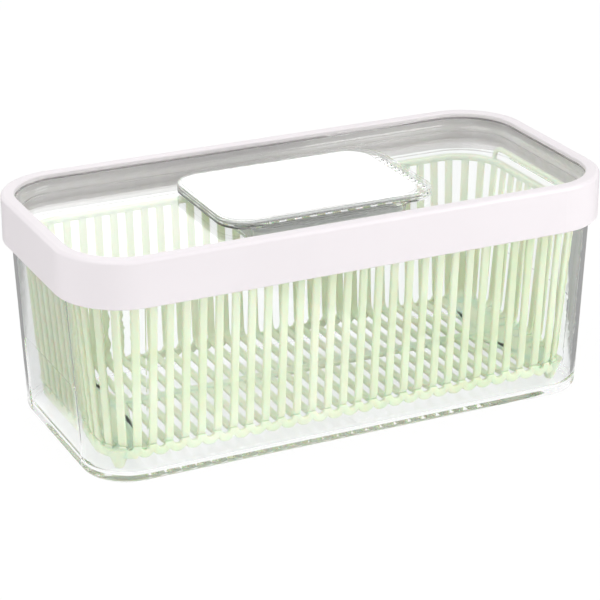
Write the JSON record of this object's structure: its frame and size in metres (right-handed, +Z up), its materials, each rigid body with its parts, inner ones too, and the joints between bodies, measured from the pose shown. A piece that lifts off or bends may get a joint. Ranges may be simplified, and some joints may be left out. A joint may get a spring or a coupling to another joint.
{
  "type": "produce keeper",
  "caption": "Clear rectangular produce keeper with a slotted inner basket and a lift-off white-rimmed lid that carries a sliding vent and a hinged filter compartment.",
  "frame": {"origin": "middle of the container's underside, on the surface that it stands on", "axes": "+X along the length, -Y towards the front, +Z up"},
  "size_m": [0.333, 0.157, 0.1334],
  "materials": {
    "clear_tub": "clear gloss",
    "clear_window": "clear gloss",
    "clear_vent": "clear gloss",
    "white_rim": "satin",
    "white_plate": "satin",
    "green_basket": "satin translucent",
    "steel_wire": "drawn",
    "white_frame": "satin",
    "nonwoven_mesh": "nonwoven",
    "carbon": "granular"
  },
  "bodies": {
    "container": {"container": "clear_tub"},
    "lid": {"lid_rim": "white_rim", "lid_tray": "clear_window", "filter_holder": "clear_vent", "vent_cap": "clear_vent", "hinge_pin_left": "steel_wire", "hinge_pin_right": "steel_wire"},
    "basket": {"basket": "green_basket"},
    "vent_slider": {"vent_slider": "white_plate"},
    "filter_door": {"filter_door": "clear_vent", "filter_frame": "white_frame", "mesh_lower": "nonwoven_mesh", "carbon_granules": "carbon", "mesh_upper": "nonwoven_mesh"}
  },
  "joints": [
    {"name": "lid_lift", "type": "slide", "parent": "container", "child": "lid", "axis": [0, 0, 1], "range_m": [0, 0.28]},
    {"name": "basket_lift", "type": "slide", "parent": "container", "child": "basket", "axis": [0, 0, 1], "range_m": [0, 0.14]},
    {"name": "vent_slide", "type": "slide", "parent": "lid", "child": "vent_slider", "axis": [1, 0, 0], "range_m": [0, 0.007]},
    {"name": "filter_hinge", "type": "hinge", "parent": "lid", "child": "filter_door", "pos_m": [0, 0.0426, 0.1122], "axis": [1, 0, 0], "range_deg": [0, 90]}
  ],
  "couplings": [
    {"joint": "basket_lift", "follows": "lid_lift", "ratio": 0.5}
  ]
}
